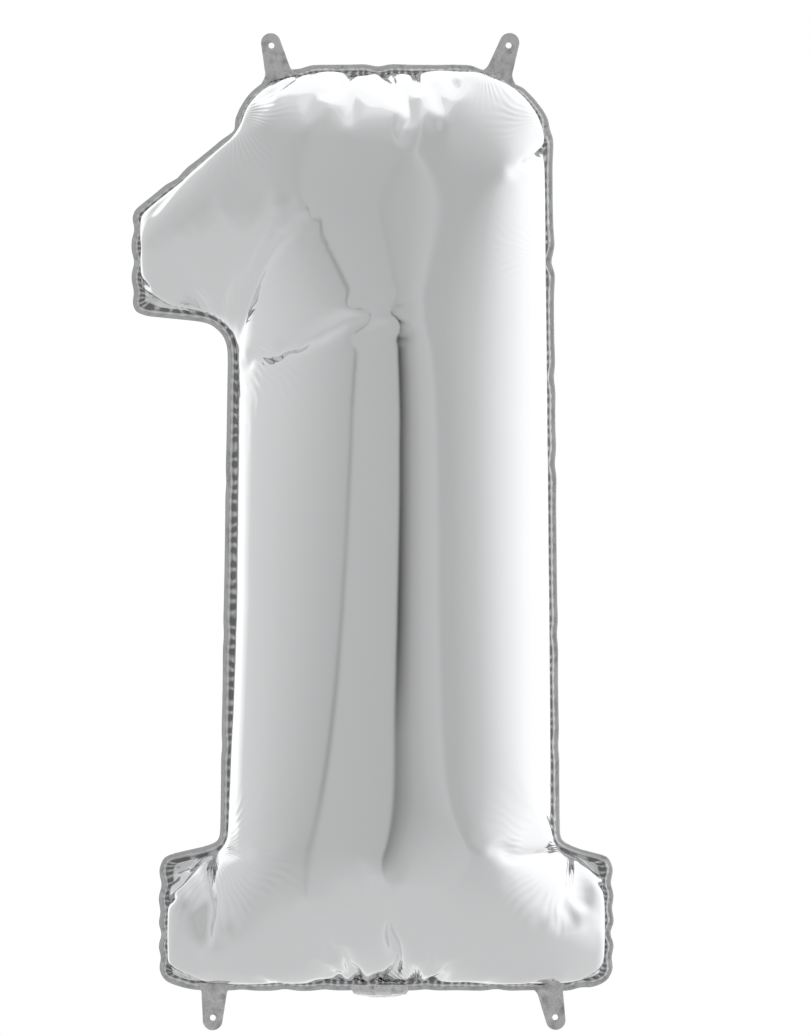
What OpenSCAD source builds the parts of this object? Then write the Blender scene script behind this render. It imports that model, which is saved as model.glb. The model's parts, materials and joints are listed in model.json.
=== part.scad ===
// Foil number balloon, the digit "1", drawn inflated. Millimetres, Z up, the front faces -Y.
// The origin is midway between the two top tab holes, which is where the balloon hangs from.

/* [Stem] */
// Width of the inflated stem below the flag, seam to seam
stem_w = 290; // [240:1:350]
// How much further out each of the stem's sides is at the foot than at the flag
stem_spread = 7; // [0:0.5:10]
// Front-to-back depth of the inflated stem
stem_depth = 290; // [230:1:350]
// Height of the inflated body, from the bottom seam to the top seam
body_h = 840; // [700:1:1010]
// Height over which the stem closes down to the top seam
top_closing = 150; // [120:1:180]
// Height over which the stem closes down to the bottom seam
bottom_closing = 130; // [105:1:160]

/* [Shoulders] */
// Length of the straight stretch of the top seam
crown_w = 120; // [90:1:150]
// Drop from the top seam to where the right shoulder meets the stem's side
right_shoulder_drop = 72; // [60:1:90]
// Drop from the top seam to where the left shoulder meets the flag's slope
left_shoulder_drop = 58; // [46:1:70]
// How far in from the stem's side the left shoulder meets the flag's slope
shoulder_in = 6; // [4:0.5:10]

/* [Flag] */
// How far the flag stands out from the stem's side
flag_reach = 87; // [70:1:105]
// Drop from the top seam to the upper corner of the flag's end
flag_drop = 128; // [105:1:155]
// Height of the flag's end
flag_end_h = 95; // [78:1:115]
// How much lower the flag's underside is at the stem than at its end
flag_sag = 5; // [4:1:8]
// Radius of the fillet between the flag's underside and the stem
flag_fillet_r = 32; // [24:1:40]

/* [Foot] */
// Width of the inflated foot, seam to seam
foot_w = 407; // [365:1:490]
// Height of the inflated foot, seam to seam
foot_h = 118; // [95:1:142]
// Front-to-back depth of the foot's two ends
foot_depth = 120; // [95:1:145]
// How far the foot's centre is to the left of the stem's centre
foot_shift = 3.5; // [0:0.5:8]
// Rise of the foot's top edge from its ends to the stem
foot_rise = 8; // [5:1:12]
// Radius of the fillet between the foot's top edge and the stem
foot_fillet_r = 14; // [10:1:20]
// Width of the foot's rounded bottom corners
foot_corner_w = 42; // [20:1:50]
// Height of the foot's rounded bottom corners
foot_corner_h = 15; // [8:1:20]

/* [Film and seal] */
// Radius of the film's outer corners at the flag's end and the foot's ends
corner_r = 9; // [6:1:12]
// Thickness of each foil layer as modelled
film_t = 0.6; // [0.5:0.1:1]
// Width of the flat heat-sealed rim outside the seam
rim_w = 5; // [4:0.5:7]
// How far the film puffs out in the corners between the stem and the flag or the foot
corner_puff = 6; // [4:0.5:9]

/* [Tabs] */
// Distance between the holes of the two top tabs
hole_spacing = 217; // [190:1:240]
// Length of a tab from its flex line to its tip
tab_len = 33; // [27:1:40]
// Width of a tab at its flex line
tab_root_w = 23; // [20:1:28]
// Radius of a tab's rounded tip
tab_tip_r = 9; // [7.5:0.5:10]
// Diameter of the hole in a tab
tab_hole_d = 5.5; // [4.5:0.1:6.6]
// Distance from a tab's tip to the centre of its hole
tab_hole_inset = 11.5; // [9.5:0.5:14]
// Outward lean of the top left tab
top_left_lean = 14; // [5:1:22]
// Outward lean of the top right tab
top_right_lean = 19; // [5:1:24]
// Distance from the stem's centre line to the bottom left tab
bottom_left_x = 161; // [140:1:170]
// Distance from the stem's centre line to the bottom right tab
bottom_right_x = 147; // [130:1:158]
// Outward lean of the bottom left tab
bottom_left_lean = 3; // [0:1:14]
// Outward lean of the bottom right tab
bottom_right_lean = 11; // [0:1:14]
// Height of the flared foot that carries a tab outside the rim
flare_h = 2; // [1:0.5:4]

/* [Neck and valve] */
// How far the neck's centre is to the left of the stem's centre
neck_shift = 9; // [0:1:30]
// Width of the tail that folds behind the neck
tail_w = 48; // [38:1:62]
// How much wider the neck is than the tail, at each side
neck_margin = 5; // [3:0.5:8]
// Length of the tail from its fold to its mouth
tail_len = 55; // [46:1:66]
// Height of the tail's slightly parted mouth, outside
mouth_h = 8.4; // [8:0.1:10]
// How much narrower the valve's two clear films are than the tail, at each side
valve_inset = 6; // [4:0.5:9]
// Length of the valve inside the body
valve_len = 105; // [85:1:125]
// Thickness of each valve film as modelled
valve_t = 0.4; // [0.3:0.1:0.5]
// Gap held between films that lie against each other
film_gap = 0.3; // [0.2:0.05:0.4]
// Clearance between a flexing piece and what it flexes against
flex_gap = 0.3; // [0.2:0.05:0.5]

/* [Hidden] */
$fn = 48;

foil = "silver";
clear_film = "gainsboro";
release_ink = "lightsteelblue";

rim_t = 2 * film_t;
neck_w = tail_w + 2 * neck_margin;
valve_w = tail_w - 2 * valve_inset;
top_half = stem_w / 2;
low_half = top_half + stem_spread;
crown_half = crown_w / 2;

// Heights, measured from the line of the top tab holes, where the top tabs' flex lines are hole_rise lower
hole_rise = tab_len - tab_hole_inset;
crown_above_flex = 5.5;                    // the rim's crown stands this far above those flex lines
top_z = crown_above_flex - hole_rise - rim_w;
bottom_z = top_z - body_h;
foot_top_z = bottom_z + foot_h;
foot_join_z = foot_top_z + foot_rise + foot_fillet_r;
flag_top_z = top_z - flag_drop;
flag_end_z = flag_top_z - flag_end_h;
flag_under_z = flag_end_z - flag_sag;
flag_join_z = flag_under_z - flag_fillet_r;

foot_left = -foot_shift - foot_w / 2;
foot_right = -foot_shift + foot_w / 2;
flag_left = -top_half - flag_reach;

// Points along an ellipse's arc, as [x, z]
function arc(cx, cz, rx, rz, from, to, steps) =
    [for (k = [0:steps]) let (a = from + (to - from) * k / steps) [cx + rx * cos(a), cz + rz * sin(a)]];

// The seam's left side, from the bottom seam up to the top seam
left_side = concat(
    arc(foot_left + foot_corner_w, bottom_z + foot_corner_h, foot_corner_w, foot_corner_h, 270, 180, 7),
    arc(foot_left + corner_r, foot_top_z - corner_r, corner_r, corner_r, 180, 100, 4),
    arc(-low_half - foot_fillet_r, foot_join_z, foot_fillet_r, foot_fillet_r, 280, 360, 5),
    arc(-top_half - flag_fillet_r, flag_join_z, flag_fillet_r, flag_fillet_r, 0, 85, 7),
    arc(flag_left + corner_r, flag_end_z + corner_r, corner_r, corner_r, 265, 180, 4),
    arc(flag_left + corner_r, flag_top_z - corner_r, corner_r, corner_r, 180, 130, 3),
    arc(-crown_half, top_z - left_shoulder_drop,
        top_half - shoulder_in - crown_half, left_shoulder_drop, 180, 90, 9)
);

// The seam's right side, from the bottom seam up to the top seam
right_side = concat(
    arc(foot_right - foot_corner_w, bottom_z + foot_corner_h, foot_corner_w, foot_corner_h, 270, 360, 7),
    arc(foot_right - corner_r, foot_top_z - corner_r, corner_r, corner_r, 0, 80, 4),
    arc(low_half + foot_fillet_r, foot_join_z, foot_fillet_r, foot_fillet_r, 260, 180, 5),
    arc(crown_half, top_z - right_shoulder_drop,
        top_half - crown_half, right_shoulder_drop, 0, 90, 9)
);

function by_height(side) = [for (p = side) [p[1], p[0]]];
left_by_z = by_height(left_side);
right_by_z = by_height(right_side);
function left_x(z) = lookup(z, left_by_z);
function right_x(z) = lookup(z, right_by_z);

// Rows of the film's mesh, close together where the outline turns or the film closes down
function eased(from, to, steps) = [for (k = [0:steps - 1]) from + (to - from) * (1 - cos(90 * k / steps))];
function evenly(from, to, steps) = [for (k = [0:steps - 1]) from + (to - from) * k / steps];
function slowing(from, to, steps) = [for (k = [0:steps - 1]) from + (to - from) * sin(90 * k / steps)];
mid_foot_z = bottom_z + foot_h / 2;
rows = concat(
    eased(bottom_z, mid_foot_z, 7),
    slowing(mid_foot_z, foot_top_z, 6),
    evenly(foot_top_z, foot_join_z, 7),
    evenly(foot_join_z, flag_join_z, 14),
    evenly(flag_join_z, flag_end_z + corner_r, 11),
    evenly(flag_end_z + corner_r, flag_top_z, 5),
    evenly(flag_top_z, top_z - left_shoulder_drop, 6),
    slowing(top_z - left_shoulder_drop, top_z, 9),
    [top_z]
);
row_count = len(rows);
cols = 24;

// How full the film stands at a distance in from an edge, where it closes over a given length
function closing(inside, length) = let (t = min(1, max(0, inside / length))) sqrt(max(0, 1 - (1 - t) * (1 - t)));
function across(s) = sqrt(max(0, 1 - s * s));

// Half width of the stem, which spreads a little towards the foot
function stem_side(z) =
    top_half + stem_spread * min(1, max(0, (flag_join_z - z) / (flag_join_z - foot_join_z)));

// Half depth of the stem's tube
function stem_rise(x, z) =
    let (lo = max(left_x(z), -stem_side(z)), hi = min(right_x(z), stem_side(z)))
    stem_depth / 2 * across((2 * x - lo - hi) / (hi - lo))
    * closing(top_z - z, top_closing) * closing(z - bottom_z, bottom_closing);

// Half depth of the foot's tube
function foot_rise_at(x, z) =
    foot_depth / 2 * across((z - mid_foot_z) * 2 / foot_h)
    * closing(min(x - foot_left, foot_right - x), foot_h / 2);

// Half depth of the flag's tube, which gets taller towards the stem and fades out inside it
flag_slope = (flag_drop - left_shoulder_drop) / (flag_reach + shoulder_in);
flag_fade = 0.7;
function flag_rise(x, z) =
    let (
        upper = min(top_z, flag_top_z + (x - flag_left) * flag_slope),
        lower = flag_end_z - flag_sag * min(1, (x - flag_left) / flag_reach),
        half = (upper - lower) / 2,
        fade = min(1, max(0, -x / (flag_fade * top_half)))
    )
    min(half, flag_end_h) * across((z - (upper + lower) / 2) / half)
    * closing(x - flag_left, flag_end_h / 2) * fade;

// The three tubes run smoothly into each other, and the film comes down to the seam at both sides
blend_power = 4;
seam_softness = 0.3;
function powered_sum(values) = [for (v = values) pow(v, blend_power)] * [for (v = values) 1];
function film_rise(x, z, side) =
    pow(powered_sum([stem_rise(x, z), foot_rise_at(x, z), flag_rise(x, z), corner_puff]), 1 / blend_power)
    * sqrt(min(1, side / seam_softness));

// The film's outside as rows of points
outside = [for (z = rows) let (lo = left_x(z), hi = right_x(z)) [
    for (j = [0:cols]) let (
        a = 180 * j / cols,
        x = (lo + hi) / 2 - (hi - lo) / 2 * cos(a),
        on_seam = j == 0 || j == cols || z == top_z || z == bottom_z
    ) [x, on_seam ? 0 : -film_rise(x, z, sin(a)), z]
]];

function unit(v) = v / max(norm(v), 1e-9);
// Direction into the balloon at a point of the outside, flat in the seam's plane on the seam itself
function inward(i, j) =
    let (
        up = outside[min(i + 1, row_count - 1)][j] - outside[max(i - 1, 0)][j],
        along = outside[i][min(j + 1, cols)] - outside[i][max(j - 1, 0)],
        n = unit(cross(up, along)),
        on_seam = i == 0 || j == 0 || i == row_count - 1 || j == cols
    )
    on_seam ? unit([n[0], 0, n[2]]) : n;
function in_front(p) = [p[0], min(p[1], 0), p[2]];
inside = [for (i = [0:row_count - 1]) [for (j = [0:cols]) in_front(outside[i][j] + film_t * inward(i, j))]];

// One half of the envelope: a thin bowl of film whose lip lies in the seam's plane
module film_bowl() {
    per_row = cols + 1;
    layer = row_count * per_row;
    function at(i, j) = i * per_row + j;
    function cells(flip, base) = [
        for (i = [0:row_count - 2], j = [0:cols - 1])
            let (a = base + at(i, j), b = base + at(i, j + 1), c = base + at(i + 1, j + 1), d = base + at(i + 1, j))
            each flip ? [[a, c, b], [a, d, c]] : [[a, b, c], [a, c, d]]
    ];
    edge = concat(
        [for (j = [0:cols - 1]) at(0, j)],
        [for (i = [0:row_count - 2]) at(i, cols)],
        [for (j = [cols:-1:1]) at(row_count - 1, j)],
        [for (i = [row_count - 1:-1:1]) at(i, 0)]
    );
    lip = [
        for (k = [0:len(edge) - 1])
            let (a = edge[k], b = edge[(k + 1) % len(edge)])
            each [[a, b, a + layer], [b, b + layer, a + layer]]
    ];
    polyhedron(
        points = concat([for (row = outside) each row], [for (row = inside) each row]),
        faces = concat(cells(true, 0), cells(false, layer), lip),
        convexity = 6
    );
}

throat_gap = valve_t + film_gap * 2;       // half the opening between the two foil layers at the neck
over = 1;                                  // how far a cut runs past what it cuts
module throat_cut() {
    reach = 3;
    translate([-neck_shift - tail_w / 2, -throat_gap, bottom_z - over])
        cube([tail_w, 2 * throat_gap, reach + over]);
}

module front_panel() {
    color(foil) difference() {
        film_bowl();
        throat_cut();
    }
}

module back_panel() {
    color(foil) mirror([0, 1, 0]) difference() {
        film_bowl();
        throat_cut();
    }
}

// The seam's outline through the film's own rows, so that the rim meets the film everywhere
seam_outline = concat(
    [for (z = rows) [left_x(z), z]],
    [for (k = [row_count - 1:-1:0]) [right_x(rows[k]), rows[k]]]
);

// Tabs: [flex line centre x, z, turn to the left from pointing straight up]
top_left_tab = [
    -hole_spacing / 2 + hole_rise * sin(top_left_lean), -hole_rise * cos(top_left_lean), top_left_lean
];
top_right_tab = [
    hole_spacing / 2 - hole_rise * sin(top_right_lean), -hole_rise * cos(top_right_lean), -top_right_lean
];
bottom_flex_z = bottom_z - rim_w - flare_h;
bottom_left_tab = [-bottom_left_x, bottom_flex_z, 180 - bottom_left_lean];
bottom_right_tab = [bottom_right_x, bottom_flex_z, 180 + bottom_right_lean];
tabs = [top_left_tab, top_right_tab, bottom_left_tab, bottom_right_tab];

// Puts a flat drawing, made with Y as up, upright in the seam's plane
module in_seam_plane(thickness) {
    rotate([90, 0, 0]) linear_extrude(height = thickness, center = true) children();
}

module at_tab(tab) {
    translate([tab[0], 0, tab[1]]) rotate([0, -tab[2], 0]) children();
}

bead_r = film_t;                           // the rolled edge that a tab flexes on
flare_top = -bead_r - flex_gap;

// The widened foot under a tab, which belongs to the rim and runs in under its outer edge
module tab_flare() {
    reach = rim_w + flare_h + film_t * 5;  // ends well inside the rim's outer edge
    polygon([
        [-tab_root_w / 2, flare_top], [-tab_root_w / 2 - flare_h, flare_top - reach],
        [tab_root_w / 2 + flare_h, flare_top - reach], [tab_root_w / 2, flare_top],
    ]);
}

// The rim stays clear of a tab and of its bead
module tab_room() {
    w = tab_root_w + 2 * flex_gap;
    translate([-w / 2, flare_top]) square([w, tab_len]);
}

module heat_seal_rim() {
    color(foil) in_seam_plane(rim_t) difference() {
        union() {
            offset(r = rim_w) polygon(seam_outline);
            for (place = tabs) translate([place[0], place[1]]) rotate(place[2]) tab_flare();
        }
        for (place = tabs) translate([place[0], place[1]]) rotate(place[2]) tab_room();
        polygon(seam_outline);
        translate([-neck_shift - neck_w / 2, bottom_z - 2 * rim_w]) square([neck_w, 2 * rim_w + over]);
    }
}

module tab(place) {
    tip_z = tab_len - tab_tip_r;
    hole_z = tab_len - tab_hole_inset;
    color(foil) at_tab(place) difference() {
        union() {
            in_seam_plane(rim_t) polygon([
                [-tab_root_w / 2, 0], [tab_root_w / 2, 0], [tab_tip_r, tip_z], [-tab_tip_r, tip_z],
            ]);
            translate([0, 0, tip_z]) rotate([90, 0, 0]) cylinder(r = tab_tip_r, h = rim_t, center = true);
            rotate([0, 90, 0]) cylinder(r = bead_r, h = tab_root_w, center = true);
        }
        translate([0, 0, hole_z]) rotate([90, 0, 0]) cylinder(d = tab_hole_d, h = rim_t + 2 * over, center = true);
    }
}

// Neck: a short flat tube that carries the valve through the rim
fold_drop = 7;
fold_z = bottom_z - fold_drop;
fold_room = 2.2;                           // kept clear around the fold line
neck_drop = bottom_z - fold_z - fold_room;
seam_clear = 0.05;                         // keeps the neck's top edge just clear of the panels' lips
module neck_root() {
    outer = 2 * (throat_gap + film_t);
    color(foil) translate([-neck_shift, 0, bottom_z - seam_clear - neck_drop]) difference() {
        translate([-neck_w / 2, -outer / 2, 0]) cube([neck_w, outer, neck_drop]);
        translate([-tail_w / 2, -throat_gap, -over]) cube([tail_w, 2 * throat_gap, neck_drop + 2 * over]);
    }
}

// The tail's half height at a distance from the fold: creased flat there, parted at the mouth
tail_start = 1.5;
crease_h = 1;
opening_run = 20;
function tail_half(s) =
    let (t = min(1, max(0, (s - tail_start) / opening_run)))
    crease_h + (mouth_h / 2 - crease_h) * t * t * (3 - 2 * t);

// Height of a parted flat tube at a distance x from its middle
lens_power = 0.675;
function lens_h(x, half_w, half_h) = half_h * pow(max(0, 1 - pow(x / half_w, 2)), lens_power);

// A ring of points around a flat tube's section, in the plane at distance s from the fold
lens_steps = 16;
function lens(s, half_w, half_h) = [
    for (k = [0:2 * lens_steps - 1])
        let (a = 180 * k / lens_steps, x = half_w * cos(a))
        [x - neck_shift, s, fold_z + sign(sin(a)) * lens_h(x, half_w, half_h)]
];

// A flat tube, open at both ends, from two stacks of rings
module flat_tube(outer_rings, inner_rings) {
    n = 2 * lens_steps;
    m = len(outer_rings);
    layer = n * m;
    skin = [
        for (i = [0:m - 2], k = [0:n - 1])
            let (a = i * n + k, b = i * n + (k + 1) % n, c = b + n, d = a + n)
            each [[a, b, c], [a, c, d], [layer + a, layer + c, layer + b], [layer + a, layer + d, layer + c]]
    ];
    last = (m - 1) * n;
    ends = [
        for (k = [0:n - 1])
            let (a = k, b = (k + 1) % n)
            each [
                [a, layer + a, b], [b, layer + a, layer + b],
                [last + a, last + b, last + layer + a], [last + b, last + layer + b, last + layer + a],
            ]
    ];
    polyhedron(
        points = concat([for (r = outer_rings) each r], [for (r = inner_rings) each r]),
        faces = concat(skin, ends), convexity = 4
    );
}

tail_sections = [for (k = [0:10]) tail_start + (tail_len - tail_start) * k / 10];
module inflation_tail() {
    color(foil) flat_tube(
        [for (s = tail_sections) lens(s, tail_w / 2, tail_half(s))],
        [for (s = tail_sections) lens(s, tail_w / 2 - film_t, tail_half(s) - film_t)]
    );
}

// One valve film inside the tail: an arched strip that lines the upper or the lower foil for side 1 or -1
valve_tail_start = 10;
valve_tail_end = tail_len - 4;             // the films stop short of the mouth
module valve_tail(side) {
    steps = 12;
    stations = [for (k = [0:6]) valve_tail_start + (valve_tail_end - valve_tail_start) * k / 6];
    half_w = valve_w / 2;
    function arch(x, s) = lens_h(x, tail_w / 2 - film_t, tail_half(s) - film_t) - film_gap;
    function strip(drop) = [
        for (s = stations, k = [0:steps])
            let (x = half_w * (2 * k / steps - 1))
            [x - neck_shift, s, fold_z + side * (arch(x, s) - drop)]
    ];
    per = steps + 1;
    m = len(stations);
    layer = per * m;
    skin = [
        for (i = [0:m - 2], k = [0:steps - 1])
            let (a = i * per + k, b = a + 1, c = b + per, d = a + per)
            each [[a, c, b], [a, d, c], [layer + a, layer + b, layer + c], [layer + a, layer + c, layer + d]]
    ];
    edge = concat(
        [for (k = [0:steps - 1]) k], [for (i = [0:m - 2]) i * per + steps],
        [for (k = [steps:-1:1]) (m - 1) * per + k], [for (i = [m - 1:-1:1]) i * per]
    );
    wall = [
        for (k = [0:len(edge) - 1])
            let (a = edge[k], b = edge[(k + 1) % len(edge)])
            each [[a, b, a + layer], [b, b + layer, a + layer]]
    ];
    faces = concat(skin, wall);
    color(clear_film) polyhedron(
        points = concat(strip(0), strip(valve_t)),
        faces = side > 0 ? faces : [for (f = faces) [f[2], f[1], f[0]]], convexity = 4
    );
}

// A flat valve film, in front of the seam's plane for side -1 and behind it for side 1
module valve_sheet(side, from_z, to_z, w) {
    near = side > 0 ? film_gap : -film_gap - valve_t;
    color(clear_film) translate([-neck_shift - w / 2, near, from_z]) cube([w, valve_t, to_z - from_z]);
}

lip_rise = 1.5;
lip_z = bottom_z + film_t + lip_rise;      // the valve's flex line, just inside the seam
lip_top_z = lip_z + valve_len;
module valve_lip(side) {
    // the inner end has rounded corners, so that it can't catch on the film
    end_r = valve_w / 6;
    intersection() {
        valve_sheet(side, lip_z + flex_gap, lip_top_z, valve_w);
        color(clear_film) translate([-neck_shift, 0, 0]) in_seam_plane(4 * throat_gap) union() {
            translate([-valve_w / 2, lip_z]) square([valve_w, valve_len - end_r]);
            translate([-valve_w / 2 + end_r, lip_z]) square([valve_w - 2 * end_r, valve_len]);
            for (x = [-1, 1]) translate([x * (valve_w / 2 - end_r), lip_top_z - end_r]) circle(r = end_r);
        }
    }
}

throat_low_z = fold_z + fold_room;
module valve_throat(side) {
    valve_sheet(side, throat_low_z, lip_z - flex_gap, valve_w);
}

// Ink that keeps the heat seal from welding the valve shut where it crosses the rim
print_inset = 4;                           // the print is narrower than the valve at each side
print_rise = 1;                            // and reaches this far above the seam
module valve_release_print() {
    w = valve_w - 2 * print_inset;
    color(release_ink) translate([-neck_shift - w / 2, -film_gap, bottom_z - rim_w + print_rise])
        cube([w, film_gap, rim_w]);
}

front_panel();
back_panel();
heat_seal_rim();
tab(top_left_tab);  // tab_top_left
tab(top_right_tab);  // tab_top_right
tab(bottom_left_tab);  // tab_bottom_left
tab(bottom_right_tab);  // tab_bottom_right
neck_root();
inflation_tail();
valve_lip(-1);  // valve_front_film
valve_lip(1);  // valve_back_film
valve_throat(-1);  // valve_throat_front
valve_throat(1);  // valve_throat_back
valve_tail(-1);  // valve_tail_front
valve_tail(1);  // valve_tail_back
valve_release_print();
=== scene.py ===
import json
import math

import bmesh
import bpy
import numpy as np
from mathutils import Matrix, Vector, noise


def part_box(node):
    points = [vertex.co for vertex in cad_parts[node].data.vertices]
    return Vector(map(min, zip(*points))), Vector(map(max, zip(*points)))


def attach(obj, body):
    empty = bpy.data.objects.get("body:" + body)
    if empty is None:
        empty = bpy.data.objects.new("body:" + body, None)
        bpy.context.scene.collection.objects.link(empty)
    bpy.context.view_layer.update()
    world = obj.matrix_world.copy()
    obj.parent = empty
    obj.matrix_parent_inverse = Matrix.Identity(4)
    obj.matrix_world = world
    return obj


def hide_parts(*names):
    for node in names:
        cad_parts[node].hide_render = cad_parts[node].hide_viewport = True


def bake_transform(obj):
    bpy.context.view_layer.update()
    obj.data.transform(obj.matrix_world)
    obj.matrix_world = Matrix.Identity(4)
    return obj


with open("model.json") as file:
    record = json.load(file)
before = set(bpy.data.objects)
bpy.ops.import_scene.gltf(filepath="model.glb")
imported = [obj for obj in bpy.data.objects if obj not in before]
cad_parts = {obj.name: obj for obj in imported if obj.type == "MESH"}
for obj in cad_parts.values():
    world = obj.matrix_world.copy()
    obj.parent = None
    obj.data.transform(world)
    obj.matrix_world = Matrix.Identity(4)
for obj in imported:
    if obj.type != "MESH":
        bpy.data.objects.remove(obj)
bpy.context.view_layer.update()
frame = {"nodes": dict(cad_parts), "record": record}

# Foil number balloon, the digit "1". Metres, Z up, the front faces -Y, and the origin is midway
# between the two top tab holes. Two flat-cut foils are welded around their outline, and then
# inflated by a cloth simulation whose seam is drawn in to the outline that the CAD panels have.

MM = 0.001


# ---------------------------------------------------------------- sizes

low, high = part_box("front_panel")
SEAM_TOP, SEAM_BOTTOM = high.z, low.z
FLAG_END_X, FOOT_RIGHT = low.x, high.x
RIM_W = 5 * MM               # welded rim outside the seam
FLANGE_W = 5.5 * MM          # film that stays flat against its twin inside the seam
FILM_T = 0.3 * MM
SHEET_W, SHEET_H = 0.70, 1.12                # blank that each foil is cut from, and its middle
SHEET_MIDDLE = (-0.02, 0.0, -0.465)
SHEET_COLUMNS, SHEET_ROWS = 87, 140          # its mesh
CELL = SHEET_H / SHEET_ROWS
PARTING = 2 * MM             # how far each flat foil lies from the seam's plane
OVERHANG = 1.5 * MM          # most that the film swells out past its own seam
MERGE, FINE_MERGE = MM / 10, MM / 20          # points closer than this are one
PINCH_REACH, PINCH_SWELL = 7 * MM, 0.3       # width of a pinch, and the swell beside it
ROOT_LIFT, SEAM_LIFT = 0.55 * MM, 0.2 * MM   # how far a flange stands off the seam's plane
FLUTTER = 4 * MM             # how far the rim wanders to the front and back
FLUTTER_LENGTH = 11 * MM
FLANGE_CALM = 0.7            # share of the rim's flutter that the seam itself has
FLANGE_PUCKER_AND_SHADE = 0.6          # how puckered the flange's finish is, and so how far the painted shade of the seam's root reaches onto it: 1 is the film's own root
DRAWN_IN_BY, FULL_BY = 20, 42                # steps of the inflation
PLEAT_LENGTH, PLEAT_H, PLEAT_REACH = 15 * MM, 0.9 * MM, 14 * MM
PLEAT_START = 5 * MM         # pleats rise from nothing at the seam over this distance
PLEAT_WANDER = 40 * MM

# The seam once the balloon is full, as the CAD panels have it
FULL = dict(
    top=SEAM_TOP, bottom=SEAM_BOTTOM,
    crown=60 * MM, stem=145 * MM, stem_low=152 * MM,
    right_shoulder=72 * MM, left_shoulder=58 * MM, shoulder_in=6 * MM,
    flag=FLAG_END_X, flag_top=SEAM_TOP - 128 * MM, flag_end=SEAM_TOP - 223 * MM, flag_sag=5 * MM,
    flag_fillet=32 * MM,
    foot_left=-207 * MM, foot_right=FOOT_RIGHT, foot_top=SEAM_BOTTOM + 118 * MM, foot_rise=8 * MM,
    foot_fillet=14 * MM, foot_corner_w=42 * MM, foot_corner_h=15 * MM, corner=9 * MM,
)

# The same outline on the flat foils before they are inflated. A flat tube is half as wide again as
# the round one that it fills out to, and its closed ends draw in.
FLAT = dict(
    top=SEAM_TOP + 61 * MM, bottom=SEAM_BOTTOM - 109 * MM,
    crown=90 * MM, stem=232 * MM, stem_low=243 * MM,
    right_shoulder=160 * MM, left_shoulder=72 * MM, shoulder_in=8 * MM,
    flag=-311 * MM, flag_top=-110 * MM, flag_end=-276 * MM, flag_sag=6 * MM,
    flag_fillet=34 * MM,
    foot_left=-277 * MM, foot_right=270 * MM, foot_top=-764 * MM, foot_rise=4 * MM,
    foot_fillet=16 * MM, foot_corner_w=44 * MM, foot_corner_h=24 * MM, corner=12 * MM,
)

# Where the full seam is pinched in: place along X and Z, and how deep, in millimetres
PINCHES = [
    (-82, -24, 3), (-11, -21, 4), (85, -22, 3), (112, -34, 3), (137, -79, 9),
    (145, -197, 9), (146, -304, 4), (147, -382, 4), (149, -539, 3), (151, -640, 2),
    (176, -733, 3), (200, -766, 4), (200, -790, 3), (200, -812, 6), (200, -834, 3),
    (174, -859, 5),
    (97, -861, 3), (32, -861, 2), (-60, -861, 2), (-96, -861, 3), (-135, -861, 2),
    (-190, -852, 3), (-206, -834, 4), (-207, -813, 5), (-207, -793, 3), (-207, -768, 4),
    (-172, -739, 3), (-150, -640, 2), (-148, -539, 2), (-146, -400, 2),
    (-232, -226, 3), (-232, -198, 4), (-232, -168, 4), (-196, -120, 3), (-140, -84, 5), (-112, -44, 4),
]

# Where fine wrinkles fan out: centre along X and Z, wrinkles per radian, and reach in millimetres
FANS = [
    (-146, -264, 46, 125), (-144, -66, 52, 66), (-84, -17, 44, 44), (-11, -14, 44, 50),
    (88, -17, 44, 48), (147, -74, 44, 66), (152, -196, 44, 74), (-160, -736, 46, 96),
    (164, -736, 46, 100), (24, -866, 44, 56),
]


# ---------------------------------------------------------------- shader kit

class Value:
    """A socket that takes part in Python expressions, each of which adds its Math node."""

    def __init__(self, tree, socket):
        self.tree = tree
        self.socket = socket

    def math(self, operation, *others):
        node = self.tree.nodes.new("ShaderNodeMath")
        node.operation = operation
        for slot, term in zip(node.inputs, others):
            if isinstance(term, Value):
                self.tree.links.new(term.socket, slot)
            else:
                slot.default_value = term
        return Value(self.tree, node.outputs[0])

    def __add__(self, other):
        return self.math("ADD", self, other)

    def __radd__(self, other):
        return self.math("ADD", other, self)

    def __sub__(self, other):
        return self.math("SUBTRACT", self, other)

    def __rsub__(self, other):
        return self.math("SUBTRACT", other, self)

    def __mul__(self, other):
        return self.math("MULTIPLY", self, other)

    def __rmul__(self, other):
        return self.math("MULTIPLY", other, self)

    def __truediv__(self, other):
        return self.math("DIVIDE", self, other)

    def __rtruediv__(self, other):
        return self.math("DIVIDE", other, self)

    def sin(self):
        return self.math("SINE", self)

    def clamp(self):
        return self.math("MINIMUM", self.math("MAXIMUM", self, 0.0), 1.0)

    def to(self, socket):
        self.tree.links.new(self.socket, socket)


class Shader:
    """A node tree in the making: one method adds any node."""

    def __init__(self, tree):
        self.tree = tree
        tree.nodes.clear()

    def node(self, kind, settings=None, stops=None, out=0, **sockets):
        made = self.tree.nodes.new(kind)
        for name, value in (settings or {}).items():
            setattr(made, name, value)
        if stops:
            ramp = made.color_ramp
            while len(ramp.elements) < len(stops):
                ramp.elements.new(0.5)
            for element, (place, tone) in zip(ramp.elements, stops):
                element.position = place
                element.color = tone if isinstance(tone, tuple) else (tone, tone, tone, 1.0)
        for name, value in sockets.items():
            slot = made.inputs[name.replace("_", " ")]
            if isinstance(value, Value):
                self.tree.links.new(value.socket, slot)
            else:
                slot.default_value = value
        return made if out is None else Value(self.tree, made.outputs[out])


def material(name):
    made = bpy.data.materials.new(name)
    made.use_nodes = True
    return made, Shader(made.node_tree)


def finish_surface(kit, **sockets):
    """Closes a material with one Principled surface."""
    shader = kit.node("ShaderNodeBsdfPrincipled", out=None, **sockets)
    output = kit.node("ShaderNodeOutputMaterial", out=None)
    kit.tree.links.new(shader.outputs[0], output.inputs["Surface"])


# ---------------------------------------------------------------- materials

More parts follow.
